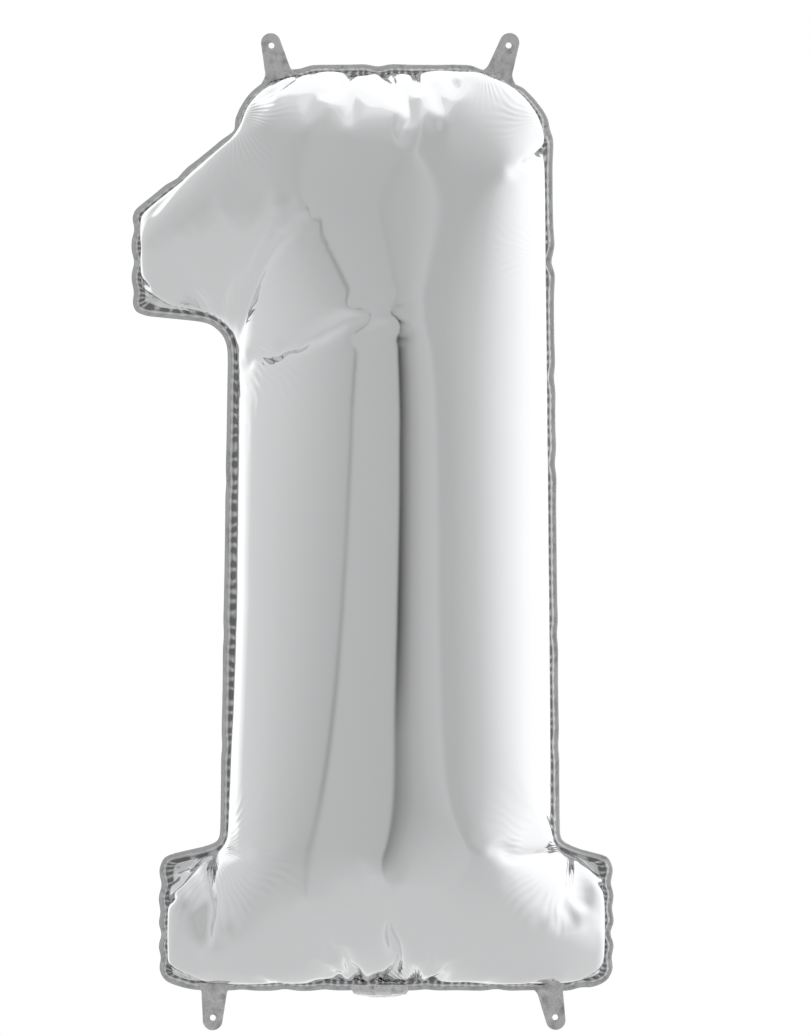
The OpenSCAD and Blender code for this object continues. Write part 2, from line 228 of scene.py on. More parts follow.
BRIGHT = (0.885, 0.89, 0.9, 1.0)
SEAM_PAINTED_SHADE = (0.22, 0.22, 0.225, 1.0)      # painted shade: the dark tone painted into the foil at the seam's root and on the flange, for what the tight puckers there mirror
PUCKER_TURNS = 640.0                         # radians of pucker per metre of seam
FAN_START = 0.42                             # noise level above which a fan's wrinkles show


def bright_foil():
    """Metallised film: a mirror with wrinkle fans at the corners and fine puckers at the seam, its
    colour darkened with painted shade along the seam's root and on the flange.
    """
    made, kit = material("bright_foil")
    place = kit.node("ShaderNodeTexCoord", out=3)
    near_seam = kit.node("ShaderNodeAttribute", {"attribute_name": "near_seam"}, out=2)
    along = kit.node("ShaderNodeAttribute", {"attribute_name": "along_seam"}, out=2)
    flange = kit.node("ShaderNodeAttribute", {"attribute_name": "on_flange"}, out=2)
    parts = kit.node("ShaderNodeSeparateXYZ", out=None, Vector=place)
    x, z = Value(kit.tree, parts.outputs[0]), Value(kit.tree, parts.outputs[2])
    sway = kit.node("ShaderNodeTexNoise", Vector=place, Scale=24.0, Detail=1.0)
    blotches = kit.node("ShaderNodeTexNoise", Vector=place, Scale=21.0, Detail=1.0)
    patches = ((blotches - FAN_START) * 7.0).clamp()
    fans = 0.0
    for cx, cz, count, reach in FANS:
        dx, dz = x - cx * MM, z - cz * MM
        away = (dx * dx + dz * dz).math("SQRT", dx * dx + dz * dz) / (reach * MM)
        fade = (1.0 - away).clamp()
        turn = dz.math("ARCTAN2", dz, dx)
        fans = fans + (turn * count + sway * 16.0).sin() * fade * (away * 2.5).clamp() * patches
    drift = kit.node("ShaderNodeTexNoise", Vector=place, Scale=9.0, Detail=2.0)
    crumple = kit.node("ShaderNodeTexNoise", Vector=place, Scale=38.0, Detail=3.0, Roughness=0.55)
    wander = kit.node("ShaderNodeTexNoise", Vector=place, Scale=60.0, Detail=1.0)
    puckers = (along * PUCKER_TURNS + wander * 9.0).sin() * near_seam * near_seam * near_seam
    height = puckers * 0.7 + crumple * near_seam * 1.1 + drift * 0.35 + fans * 0.3
    bump = kit.node("ShaderNodeBump", Strength=0.5, Distance=0.0012, Height=height)
    smudge = kit.node("ShaderNodeTexNoise", Vector=place, Scale=5.0, Detail=4.0)
    # Painted shade: a dark dotted band along the seam's root and an even grey on the flange, painted
    # into the foil's colour for the dark that the crevice and flange mirror
    dots = ((near_seam - 0.72) * 8.0).clamp() * (puckers * 0.4 + crumple * 0.5 + 0.3)
    shade = dots + flange * (puckers * 0.25 + 0.22)
    tone = kit.node("ShaderNodeValToRGB", stops=[(0.0, BRIGHT), (0.6, SEAM_PAINTED_SHADE)], Fac=shade)
    finish_surface(
        kit,
        Base_Color=tone,
        Metallic=1.0,
        Roughness=smudge * 0.04 + 0.06,
        Normal=bump,
    )
    return made


def sealed_foil():
    """Double film after the heat seal: greyer, finely ribbed and a little duller."""
    made, kit = material("sealed_foil")
    place = kit.node("ShaderNodeTexCoord", out=3)
    grain = kit.node("ShaderNodeTexNoise", Vector=place, Scale=420.0, Detail=2.0)
    wrinkle = kit.node("ShaderNodeTexNoise", Vector=place, Scale=120.0, Detail=3.0)
    bump = kit.node("ShaderNodeBump", Strength=0.5, Distance=0.0008, Height=wrinkle + grain * 0.25)
    finish_surface(
        kit,
        Base_Color=(0.66, 0.665, 0.675, 1.0),
        Metallic=1.0,
        Roughness=grain * 0.1 + 0.14,
        Normal=bump,
    )
    return made


def creased_foil(name, tone, duller):
    """Slack or flat double film with handling creases, and painted shade in their hollows."""
    made, kit = material(name)
    place = kit.node("ShaderNodeTexCoord", out=3)
    crease = kit.node("ShaderNodeTexVoronoi", {"feature": "DISTANCE_TO_EDGE"}, Vector=place, Scale=85.0)
    soft = kit.node("ShaderNodeTexNoise", Vector=place, Scale=110.0, Detail=4.0)
    bump = kit.node("ShaderNodeBump", Strength=0.8, Distance=0.0015, Height=crease * 0.7 + soft * 1.8)
    # Painted shade: the colour drops to 0.62 of the tone where the soft noise, and so the bump, dips
    # into the creases' hollows
    crease_hollow_shade = kit.node("ShaderNodeValToRGB", stops=[(0.3, tone * 0.62), (0.5, tone), (1.0, tone)], Fac=soft)
    finish_surface(
        kit,
        Base_Color=crease_hollow_shade,
        Metallic=1.0,
        Roughness=soft * 0.12 + duller,
        Normal=bump,
    )
    return made


def clear_film():
    """Clear polyethylene valve film with faint flow lines."""
    made, kit = material("clear_film")
    place = kit.node("ShaderNodeTexCoord", out=3)
    flow = kit.node("ShaderNodeTexNoise", Vector=place, Scale=150.0, Detail=2.0)
    bump = kit.node("ShaderNodeBump", Strength=0.3, Distance=0.0006, Height=flow)
    finish_surface(
        kit,
        Base_Color=(0.93, 0.945, 0.955, 1.0),
        Roughness=flow * 0.1 + 0.12,
        Alpha=flow * 0.15 + 0.3,
        Normal=bump,
    )
    return made


def printed_ink():
    """The release coat: pale ink in a fine screen."""
    made, kit = material("release_ink")
    place = kit.node("ShaderNodeTexCoord", out=3)
    dots = kit.node("ShaderNodeTexVoronoi", Vector=place, Scale=900.0)
    finish_surface(kit, Base_Color=(0.5, 0.6, 0.78, 1.0), Roughness=dots * 0.2 + 0.55)
    return made


def matt_stage(name, tone):
    """Plain matt board for the floor."""
    made, kit = material(name)
    place = kit.node("ShaderNodeTexCoord", out=3)
    mottle = kit.node("ShaderNodeTexNoise", Vector=place, Scale=3.0, Detail=2.0)
    finish_surface(kit, Base_Color=(tone, tone, tone, 1.0), Roughness=mottle * 0.1 + 0.75)
    return made


foil = bright_foil()
seal = sealed_foil()
# The tabs' film is given a darker grey than the tail's, as painted shade for the front highlight that
# they lack.
tab_foil = creased_foil("tab_foil", 0.72, 0.2)
tail_foil = creased_foil("tail_foil", 0.84, 0.12)
film = clear_film()
ink = printed_ink()


# ---------------------------------------------------------------- outline

def arc(cx, cz, rx, rz, start, end, steps):
    """Points on part of an ellipse, with its angles in degrees."""
    turns = [math.radians(start + (end - start) * k / steps) for k in range(steps + 1)]
    return [(cx + rx * math.cos(a), cz + rz * math.sin(a)) for a in turns]


def outline(d):
    """The digit's seam, anticlockwise from the foot's bottom right corner, as X and Z."""
    crown_r, crown_l = d["crown"], -d["crown"]
    cw, ch, c = d["foot_corner_w"], d["foot_corner_h"], d["corner"]
    foot_r, flag_r = d["foot_fillet"], d["flag_fillet"]
    foot_join = d["foot_top"] + d["foot_rise"] + foot_r
    flag_join = d["flag_end"] - d["flag_sag"] - flag_r
    points = arc(d["foot_right"] - cw, d["bottom"] + ch, cw, ch, 270, 360, 8)
    points += arc(d["foot_right"] - c, d["foot_top"] - c, c, c, 0, 80, 5)
    points += arc(d["stem_low"] + foot_r, foot_join, foot_r, foot_r, 260, 180, 6)
    points += arc(crown_r, d["top"] - d["right_shoulder"],
                  d["stem"] - crown_r, d["right_shoulder"], 0, 90, 10)
    points += arc(crown_l, d["top"] - d["left_shoulder"],
                  d["stem"] - d["shoulder_in"] - crown_r, d["left_shoulder"], 90, 180, 10)
    points += arc(d["flag"] + c, d["flag_top"] - c, c, c, 130, 180, 3)
    points += arc(d["flag"] + c, d["flag_end"] + c, c, c, 180, 265, 5)
    points += arc(-d["stem"] - flag_r, flag_join, flag_r, flag_r, 85, 0, 8)
    points += arc(-d["stem_low"] - foot_r, foot_join, foot_r, foot_r, 0, -80, 6)
    points += arc(d["foot_left"] + c, d["foot_top"] - c, c, c, 100, 180, 5)
    points += arc(d["foot_left"] + cw, d["bottom"] + ch, cw, ch, 180, 270, 8)
    return np.array(points)


def inside(points, line):
    """Which points lie inside a closed outline, by counting crossings."""
    x, z = points[:, 0], points[:, 1]
    odd = np.zeros(len(points), bool)
    for (x1, z1), (x2, z2) in zip(line, np.roll(line, -1, axis=0)):
        if z1 == z2:
            continue
        across = (z1 > z) != (z2 > z)
        odd ^= across & (x < (x2 - x1) * (z - z1) / (z2 - z1) + x1)
    return odd


def nearest_on(points, line, twin):
    """Nearest places on an outline, the same places on its twin, their distance and place along it."""
    best = np.full(len(points), np.inf)
    spot, other, run = points.copy(), points.copy(), np.zeros(len(points))
    ends, twin_ends = np.roll(line, -1, axis=0), np.roll(twin, -1, axis=0)
    lengths = np.linalg.norm(ends - line, axis=1)
    starts = np.concatenate([[0.0], np.cumsum(lengths)[:-1]])
    for a, b, ta, tb, length, start in zip(line, ends, twin, twin_ends, lengths, starts):
        if length < 1e-7:
            continue
        t = np.clip((points - a) @ (b - a) / length ** 2, 0, 1)
        near = a + t[:, None] * (b - a)
        gap = np.linalg.norm(points - near, axis=1)
        closer = gap < best
        best[closer] = gap[closer]
        spot[closer] = near[closer]
        other[closer] = (ta + t[:, None] * (tb - ta))[closer]
        run[closer] = (start + t * length)[closer]
    return spot, other, best, run


def grown(line, width):
    """The outline moved outwards by a width, with the same points in the same order."""
    along = np.roll(line, -1, axis=0) - np.roll(line, 1, axis=0)
    outward = np.stack([along[:, 1], -along[:, 0]], axis=1)
    return line + width * outward / np.linalg.norm(outward, axis=1)[:, None]


full_line = outline(FULL)
flat_line = outline(FLAT)
full_edge = grown(full_line, RIM_W)
full_root = grown(full_line, -FLANGE_W)


def inward_at(place):
    """Direction into the digit from the point of the full seam nearest to a place."""
    ends = np.roll(full_line, -1, axis=0)
    k = int(np.argmin(np.linalg.norm((full_line + ends) / 2 - place, axis=1)))
    run = ends[k] - full_line[k]
    return np.array([-run[1], run[0]]) / np.linalg.norm(run)


def scalloped(points):
    """Points of the rim's edge pulled in at the pinches, and let out a little beside them."""
    moved = points.copy()
    for x, z, depth in PINCHES:
        place = np.array([x * MM, z * MM])
        gap = np.linalg.norm(points - place, axis=1)
        swell = PINCH_SWELL * np.exp(-(gap / (3 * PINCH_REACH)) ** 2)
        pull = np.exp(-(gap / PINCH_REACH) ** 2) - swell
        moved += pull[:, None] * depth * MM * inward_at(place)
    return moved


# ---------------------------------------------------------------- the flat foils and their inflation

FRONT, BACK, SEALED = range(3)      # what a face of the foils belongs to


def flat_foils():
    """Both foils as one flat bag: a grid trimmed to the seam, doubled and joined along it."""
    bm = bmesh.new()
    bmesh.ops.create_grid(bm, x_segments=SHEET_COLUMNS, y_segments=SHEET_ROWS, size=0.5)
    upright = Matrix.Rotation(math.pi / 2, 4, "X") @ Matrix.Diagonal((SHEET_W, SHEET_H, 1, 1))
    bmesh.ops.transform(bm, verts=bm.verts, matrix=Matrix.Translation(SHEET_MIDDLE) @ upright)
    faces = list(bm.faces)
    middles = np.array([f.calc_center_median()[:] for f in faces])[:, [0, 2]]
    kept = inside(middles, flat_line)
    bmesh.ops.delete(bm, geom=[f for f, keep in zip(faces, kept) if not keep], context="FACES")
    seam = [v for v in bm.verts if v.is_boundary]
    spots, _, _, _ = nearest_on(flat_places(seam), flat_line, full_line)
    for v, (x, z) in zip(seam, spots):
        v.co = (x, 0.0, z)
    free = [v for v in bm.verts if not v.is_boundary]
    _, _, gaps, _ = nearest_on(flat_places(free), flat_line, full_line)
    close = [v for v, gap in zip(free, gaps) if gap < 3 * CELL]
    for _ in range(10):
        bmesh.ops.smooth_vert(bm, verts=close, factor=0.7, use_axis_x=True, use_axis_z=True)
    bmesh.ops.recalc_face_normals(bm, faces=bm.faces)
    if sum(f.normal.y for f in bm.faces) > 0:
        bmesh.ops.reverse_faces(bm, faces=bm.faces)
    edge = set(seam)
    for v in bm.verts:
        if v not in edge:
            v.co.y = -PARTING
    doubled = bmesh.ops.duplicate(bm, geom=bm.verts[:] + bm.edges[:] + bm.faces[:])["geom"]
    back = [g for g in doubled if isinstance(g, bmesh.types.BMFace)]
    for v in (g for g in doubled if isinstance(g, bmesh.types.BMVert)):
        v.co.y = -v.co.y
    bmesh.ops.reverse_faces(bm, faces=back)
    for f in back:
        f.material_index = BACK
    bmesh.ops.remove_doubles(bm, verts=bm.verts, dist=MERGE)
    mesh = bpy.data.meshes.new("flat_foils")
    bm.to_mesh(mesh)
    bm.free()
    return mesh


def flat_places(verts):
    """X and Z of some points."""
    return np.array([(v.co.x, v.co.z) for v in verts])


def coordinates(mesh):
    """All points of a mesh as rows."""
    places = np.empty(len(mesh.vertices) * 3)
    mesh.vertices.foreach_get("co", places)
    return places.reshape(-1, 3)


def inflated(mesh, edge, drawn):
    """Fills the bag: the rim is drawn in to the full outline while gas pressure fills out the film."""
    bag = bpy.data.objects.new("bag", mesh)
    bpy.context.scene.collection.objects.link(bag)
    bag.shape_key_add(name="Flat")
    key = bag.shape_key_add(name="Drawn in")
    key.data.foreach_set("co", drawn.ravel())
    key.value = 0.0
    key.keyframe_insert("value", frame=1)
    key.value = 1.0
    key.keyframe_insert("value", frame=DRAWN_IN_BY)
    bag.vertex_groups.new(name="edge").add([int(k) for k in edge], 1.0, "REPLACE")
    cloth = bag.modifiers.new("Cloth", "CLOTH")
    foil_set = cloth.settings
    foil_set.vertex_group_mass = "edge"
    foil_set.rest_shape_key = mesh.shape_keys.key_blocks["Flat"]
    foil_set.quality = 7
    foil_set.mass = 0.05
    foil_set.air_damping = 2.0
    foil_set.tension_stiffness = 200.0
    foil_set.compression_stiffness = 4.0
    foil_set.shear_stiffness = 4.0
    foil_set.bending_stiffness = 0.02
    foil_set.tension_damping = 15.0
    foil_set.compression_damping = 15.0
    foil_set.shear_damping = 15.0
    foil_set.use_pressure = True
    foil_set.uniform_pressure_force = 22.0
    foil_set.effector_weights.gravity = 0.0
    cloth.collision_settings.use_collision = False
    cloth.collision_settings.use_self_collision = False
    cloth.point_cache.frame_start, cloth.point_cache.frame_end = 1, FULL_BY
    scene = bpy.context.scene
    scene.frame_start, scene.frame_end = 1, FULL_BY
    for step in range(1, FULL_BY + 1):
        scene.frame_set(step)
    graph = bpy.context.evaluated_depsgraph_get()
    shape = coordinates(bag.evaluated_get(graph).data).copy()
    scene.frame_set(1)
    bpy.data.objects.remove(bag)
    return shape


def envelope():
    """The inflated foils as one mesh, and for each point its gap to the seam and place along it."""
    mesh = flat_foils()
    flat = coordinates(mesh)
    _, drawn_edge, gap, run = nearest_on(flat[:, [0, 2]], flat_line, full_root)
    edge = np.where(gap < MERGE)[0]
    drawn = flat.copy()
    drawn[edge[:, None], [0, 2]] = scalloped(drawn_edge[edge])
    drawn[edge, 1] = fluttered(run[edge]) / 2
    shape = inflated(mesh.copy(), edge, drawn)
    outside = np.where(~inside(shape[:, [0, 2]], full_root) & (gap > MM))[0]
    past = shape[outside[:, None], [0, 2]]
    spots, _, beyond, _ = nearest_on(past, full_root, full_root)
    held = OVERHANG * (1 - np.exp(-beyond / OVERHANG)) / np.maximum(beyond, MM / 100)
    shape[outside[:, None], [0, 2]] = spots + (past - spots) * held[:, None]
    mesh.vertices.foreach_set("co", shape.ravel())
    return mesh, gap, run


def fluttered(runs):
    """How far the rim stands to the front or back at places along the seam."""
    return np.array([noise.noise(Vector((r / FLUTTER_LENGTH, 0.3, 0.7))) * FLUTTER for r in runs])


def keep_with(piece, body, slot, *nodes):
    """A finished piece moves with a body and stands for its CAD nodes; its slot is not used."""
    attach(piece, body)
    if nodes:
        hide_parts(*nodes)
    return piece


def piece_from(bm, name, surface, thickness=0.0, fine=0):
    """Turns a bmesh into a piece with one finish, subdivided and given its wall by modifiers."""
    mesh = bpy.data.meshes.new(name)
    bm.to_mesh(mesh)
    bm.free()
    mesh.polygons.foreach_set("use_smooth", [True] * len(mesh.polygons))
    mesh.polygons.foreach_set("material_index", [0] * len(mesh.polygons))
    mesh.materials.clear()
    mesh.materials.append(surface)
    piece = bpy.data.objects.new(name, mesh)
    bpy.context.scene.collection.objects.link(piece)
    if fine:
        smooth = piece.modifiers.new("Fine", "SUBSURF")
        smooth.levels = smooth.render_levels = fine
    if thickness:
        wall = piece.modifiers.new("Film", "SOLIDIFY")
        wall.thickness = thickness
        wall.offset = -1.0
    return piece


def pleated(places, normals, gap, run):
    """Points of the film lifted into small pleats that start at the seam and run out inwards."""
    near = np.exp(-gap / PLEAT_REACH)
    wander = np.array([noise.noise(Vector((r / PLEAT_WANDER, 1.5, 0.2))) for r in run])
    wave = np.sin(2 * math.pi * run / PLEAT_LENGTH + 5 * wander)
    rise = PLEAT_H * near * (0.55 + 0.6 * wander) * wave * np.clip(gap / PLEAT_START, 0, 1)
    return places + normals * rise[:, None]


def foil_side(layer):
    """One foil: the film of one side, round it the flat flange, and round that the sealed rim."""
    sign = -1 if layer == FRONT else 1
    bm = bmesh.new()
    bm.from_mesh(bag_mesh)
    labels = ("near_seam", "along_seam", "on_flange")
    near_seam, along_seam, on_flange = [bm.verts.layers.float.new(label) for label in labels]
    bm.verts.ensure_lookup_table()
    normals = np.array([v.normal[:] for v in bm.verts])
    places = pleated(coordinates(bag_mesh), normals, bag_gap, bag_run)
    for v, place, gap, run in zip(bm.verts, places, bag_gap, bag_run):
        v.co = place
        v[near_seam], v[along_seam] = math.exp(-gap / PLEAT_REACH), run
    bmesh.ops.delete(bm, geom=[f for f in bm.faces if f.material_index != layer], context="FACES")
    for v in (v for v in bm.verts if v.is_boundary):
        v.co.y += sign * ROOT_LIFT
    border = [e for e in bm.edges if e.is_boundary]
    for twin, lift, loose, owner in ((full_line, SEAM_LIFT, FLANGE_CALM, layer),
                                     (full_edge, 0.0, 1.0, SEALED)):
        made = bmesh.ops.extrude_edge_only(bm, edges=border)["geom"]
        ring = [g for g in made if isinstance(g, bmesh.types.BMVert)]
        border = [g for g in made if isinstance(g, bmesh.types.BMEdge) and g.is_boundary]
        runs = np.array([v[along_seam] for v in ring])
        spots = scalloped(along_outline(runs, twin))
        for v, (x, z), stand in zip(ring, spots, fluttered(runs)):
            v.co = (x, stand * loose + sign * lift, z)
            v[near_seam], v[on_flange] = FLANGE_PUCKER_AND_SHADE, 1.0
        for f in (g for g in made if isinstance(g, bmesh.types.BMFace)):
            f.material_index = owner
    bmesh.ops.recalc_face_normals(bm, faces=bm.faces)
    if sum(f.normal.y * f.calc_area() for f in bm.faces) * sign < 0:
        bmesh.ops.reverse_faces(bm, faces=bm.faces)
    return bm


def along_outline(runs, twin):
    """Points of a twin outline at places along the flat one."""
    ends = np.roll(flat_line, -1, axis=0)
    starts = np.concatenate([[0.0], np.cumsum(np.linalg.norm(ends - flat_line, axis=1))])
    closed = np.vstack([twin, twin[:1]])
    return np.stack([np.interp(runs, starts, closed[:, k]) for k in range(2)], axis=1)


bag_mesh, bag_gap, bag_run = envelope()
rims = bmesh.new()
for layer, name, node in ((FRONT, "foil_front", "front_panel"), (BACK, "foil_back", "back_panel")):
    whole = foil_side(layer)
    strip = whole.copy()
    film_faces = [f for f in strip.faces if f.material_index != SEALED]
    rim_faces = [f for f in whole.faces if f.material_index == SEALED]
    bmesh.ops.delete(strip, geom=film_faces, context="FACES")
    bmesh.ops.delete(whole, geom=rim_faces, context="FACES")
    part = bpy.data.meshes.new("strip")
    strip.to_mesh(part)
    strip.free()
    rims.from_mesh(part)
    bpy.data.meshes.remove(part)
    panel = keep_with(piece_from(whole, name, foil, FILM_T, fine=1), "envelope", "silver_foil", node)
bmesh.ops.remove_doubles(rims, verts=rims.verts, dist=FINE_MERGE)
keep_with(piece_from(rims, "seal_rim", seal, fine=1), "envelope", "sealed_foil", "heat_seal_rim")


# ---------------------------------------------------------------- tabs

joints = {j["name"]: j for j in frame["record"]["behaviour"]["joints"]}
TAB_LEN, TAB_TIP_R, TAB_HALF = 33 * MM, 9 * MM, 11.5 * MM
TAB_TIP_FLAT = 1.2 * MM      # least half width, at the very tip
TAB_HOLE, TAB_HOLE_R = 21.5 * MM, 2.75 * MM  # its hole's height above the flex line, and radius
TAB_FOOT = 10 * MM           # how far a tab's root runs down over the rim
TAB_FLARE = 6 * MM
TAB_FILM = 0.4 * MM
TAB_CREASE, TAB_CREASE_SIZE = 1.6 * MM, 16 * MM
TAB_CALM = 8 * MM            # creases rise from nothing over this distance from the foot
TAB_SET_BACK = 1.2 * MM


def tab_half_width(v):
    """Half width of a tab at a height above its flex line."""
    centre = TAB_LEN - TAB_TIP_R
    if v < 0:
        return TAB_HALF + TAB_FLARE * (v / TAB_FOOT) ** 2
    if v < centre:
        return TAB_HALF + (TAB_TIP_R - TAB_HALF) * v / centre
    return math.sqrt(max(TAB_TIP_R ** 2 - (v - centre) ** 2, TAB_TIP_FLAT ** 2))


def tab(name, up_sign, curl, seed):
    """A holed tab of double film, creased by handling, curled a little from its own flex line."""
    joint = joints[name + "_flex"]
    spot = Vector(joint["pos_m"])
    across = Vector(joint["axis"])
    up = Vector((-across.z, 0, across.x)) * up_sign
    bm = bmesh.new()
    bmesh.ops.create_grid(bm, x_segments=18, y_segments=34, size=0.5)
    for v in bm.verts:
        t = v.co.y + 0.5
        height = -TAB_FOOT + (TAB_LEN + TAB_FOOT) * math.sin(t * math.pi / 2) ** 1.2
        v.co = Vector((2 * v.co.x * tab_half_width(height), 0, height))
    hole = Vector((0, 0, TAB_HOLE))
    inner = [f for f in bm.faces if (f.calc_center_median() - hole).length < TAB_HOLE_R]
    bmesh.ops.delete(bm, geom=inner, context="FACES")
    for v in bm.verts:
        arm = v.co - hole
        if v.is_boundary and arm.length < 1.9 * TAB_HOLE_R:
            v.co = hole + arm.normalized() * TAB_HOLE_R
    for v in bm.verts:
        p = v.co / TAB_CREASE_SIZE + Vector((seed, 0, 0))
        free = max(0.0, min(1.0, (v.co.z + TAB_FOOT) / TAB_CALM))
        ridge = abs(noise.noise(p * 1.7)) * TAB_CREASE
        bend = curl * (max(0.0, v.co.z) / TAB_LEN) ** 2
        v.co.y = (noise.noise(p) * TAB_CREASE + ridge) * free + bend - TAB_SET_BACK
    turn = Matrix((across, Vector((0, 1, 0)), up)).transposed().to_4x4()
    bmesh.ops.transform(bm, verts=bm.verts, matrix=Matrix.Translation(spot) @ turn)
    piece = piece_from(bm, name + "_foil", tab_foil, TAB_FILM, fine=1)
    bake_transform(piece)
    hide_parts(name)


tab("tab_top_left", 1, 2 * MM, 3.1)
tab("tab_top_right", 1, -3 * MM, 8.7)
tab("tab_bottom_left", -1, 1 * MM, 12.3)
tab("tab_bottom_right", -1, -2 * MM, 21.9)


# ---------------------------------------------------------------- neck, tail and valve

fold = Vector(joints["tail_fold"]["pos_m"])
tail_low, tail_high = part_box("inflation_tail")
neck_low, neck_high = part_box("neck_root")
TAIL_HALF, TAIL_LEN = (tail_high.x - tail_low.x) / 2, tail_high.y
MOUTH_HALF = (tail_high.z - tail_low.z) / 2
NECK_HALF = (neck_high.x - neck_low.x) / 2
FOLD_R = 2.5 * MM
NECK_LEN = 9 * MM
FLAT_HALF = 1 * MM           # half height of the tail where it lies flat at the fold
PARTS_FROM, PARTS_OVER = 1.5 * MM, 20 * MM   # where the tail's two sides begin to part
TAIL_CRUMPLE = 0.9 * MM
STIFF_FROM = 25 * MM         # past this the open mouth holds the tail smoother
TAIL_FILM, VALVE_FILM = 0.25 * MM, 0.15 * MM
VALVE_CLEAR, VALVE_DROP = 0.6 * MM, 0.5 * MM # room between the valve's films and the tail's
VALVE_WAVE = 1.5 * MM
ROUND_FROM = 0.94            # share of a strip's length where its end starts to narrow


def tail_gape(s):
    """Half height of the tail at a distance from its fold: flat there and parted at the mouth."""
    t = min(1, max(0, (s - PARTS_FROM) / PARTS_OVER))
    return FLAT_HALF + (MOUTH_HALF - FLAT_HALF) * t * t * (3 - 2 * t)


def lens(x, half_w, half_h):
    """Height over the middle of a flat tube's section, which ends in a soft edge at each side."""
    return half_h * max(0, 1 - (x / half_w) ** 2) ** 0.675


def tail_route(s):
    """A point of the tail's middle line and its outward side, s metres from the start of the neck."""
    straight = NECK_LEN - FOLD_R
    bend = FOLD_R * math.pi / 2
    if s < straight:
        return Vector((fold.x, 0, fold.z + NECK_LEN - s)), Vector((0, -1, 0))
    if s < straight + bend:
        a = (s - straight) / FOLD_R
        side = Vector((0, -math.cos(a), -math.sin(a)))
        return Vector((fold.x, FOLD_R, fold.z + FOLD_R)) + side * FOLD_R, side
    return Vector((fold.x, FOLD_R + s - straight - bend, fold.z)), Vector((0, 0, -1))


def tail():
    """A slack flat tube from the seam round the fold to the open mouth."""
    around, along = 44, 60
    whole = NECK_LEN - FOLD_R + FOLD_R * math.pi / 2 + TAIL_LEN - FOLD_R
    bm = bmesh.new()
    bmesh.ops.create_grid(bm, x_segments=around, y_segments=along, size=0.5)
    for v in bm.verts:
        a, s = (v.co.x + 0.5) * 2 * math.pi, (v.co.y + 0.5) * whole
        spot, side = tail_route(s)
        near_neck = min(1, s / NECK_LEN)
        half_w = NECK_HALF + (TAIL_HALF - NECK_HALF) * near_neck
        x = half_w * math.cos(a)
        rise = math.copysign(lens(x, half_w, tail_gape(s - NECK_LEN)), math.sin(a))
        slack = 1 - 0.75 * max(0, (s - STIFF_FROM) / whole)
        crumple = noise.noise(Vector((x / (7 * MM), s / (10 * MM), 4.4))) * TAIL_CRUMPLE * slack
        v.co = spot + Vector((x, 0, 0)) + side * (rise + crumple)
    bmesh.ops.remove_doubles(bm, verts=bm.verts, dist=FINE_MERGE)
    bmesh.ops.recalc_face_normals(bm, faces=bm.faces)
    piece = piece_from(bm, "tail_foil_tube", tail_foil, TAIL_FILM, fine=1)
    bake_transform(piece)
    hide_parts("neck_root", "inflation_tail")


def film_strip(name, node, body, place):
    """A thin clear strip: place turns across (-1 to 1) and along (0 to 1) into a point."""
    bm = bmesh.new()
    bmesh.ops.create_grid(bm, x_segments=14, y_segments=24, size=0.5)
    for v in bm.verts:
        v.co = place(2 * v.co.x, v.co.y + 0.5)
    keep_with(piece_from(bm, name, film, VALVE_FILM, fine=1), body, "valve_film", node)


def flat_strip(node, side, waviness):
    """A strip that fills its CAD film's outline, gently rippled towards its free end."""
    start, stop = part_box(node)
    middle = (start.y + stop.y) / 2

    def place(across, along):
        corner = max(0, along - ROUND_FROM) / (1 - ROUND_FROM)
        half = (stop.x - start.x) / 2 * (1 - 0.33 * corner ** 2)
        x = (start.x + stop.x) / 2 + across * half
        z = start.z + (stop.z - start.z) * along
        ripple = noise.noise(Vector((x * 60, z * 45, side * 5))) * waviness * along
        return Vector((x, middle + side * abs(ripple), z))
    return place


def tail_strip(node, side):
    """A strip that follows the inside of the tail's parted side."""
    start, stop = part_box(node)

    def place(across, along):
        x = across * (stop.x - start.x) / 2
        s = start.y + (stop.y - start.y) * along
        arch = lens(x, TAIL_HALF - VALVE_CLEAR, tail_gape(s) - VALVE_CLEAR) - VALVE_DROP
        return Vector((fold.x + x, s, fold.z + side * arch))
    return place


tail()
for end, side in (("front", -1), ("back", 1)):
    body_film, throat, mouth = f"valve_{end}_film", f"valve_throat_{end}", f"valve_tail_{end}"
    film_strip("valve_film_" + end, body_film, "valve_" + end, flat_strip(body_film, side, VALVE_WAVE))
    film_strip("valve_neck_" + end, throat, "envelope", flat_strip(throat, side, 0.0))
    film_strip("valve_mouth_" + end, mouth, "tail", tail_strip(mouth, side))

for place in frame["nodes"]["valve_release_print"].material_slots:
    place.material = ink


# ---------------------------------------------------------------- studio

# Brightness round the studio: degrees from behind the camera towards the right, and tone
WALLS = [
    (-180, 1.13), (-142, 1.13), (-128, 0.7), (-100, 0.65), (-42, 0.49), (-36, 0.52),
    (0, 0.49), (14, 0.5), (26, 0.56), (29, 0.48), (38, 0.49), (56, 0.595), (80, 0.86),
    (105, 1.08), (125, 1.14),
]
# Dark gaps between the soft boxes behind the camera, by direction, and their depth by height
GAP = [(-41, 0.0), (-38.5, 0.42), (-36, 0.0), (-1.5, 0.0), (0, 1.0), (3.5, 0.62), (9, 0.2), (16, 0.0)]
GAP_DEPTH = [
    (-0.9, 0.25), (-0.07, 0.55), (-0.035, 0.97), (-0.008, 0.97), (0.015, 0.6), (0.07, 0.1), (0.5, 0.0),
]
# Shares of the overhead glow and of the floor's, by height of the direction
OVERHEAD = [(0.0, 0.0), (0.72, 0.0), (0.88, 0.12), (0.96, 0.3), (0.995, 0.7)]
OVERHEAD_GLOW = 0.98
UNDERFOOT = [(-0.95, 1.0), (-0.6, 0.85), (-0.15, 0.0), (1.0, 0.0)]
FLOOR_GLOW = 0.62

FLOOR_Z, FLOOR_HALF = -1.25, 4.0
AIM = (13.7 * MM, 0.0, -432.3 * MM)
VIEW_HEIGHT = 948 * MM
CAMERA_AWAY = 9.0


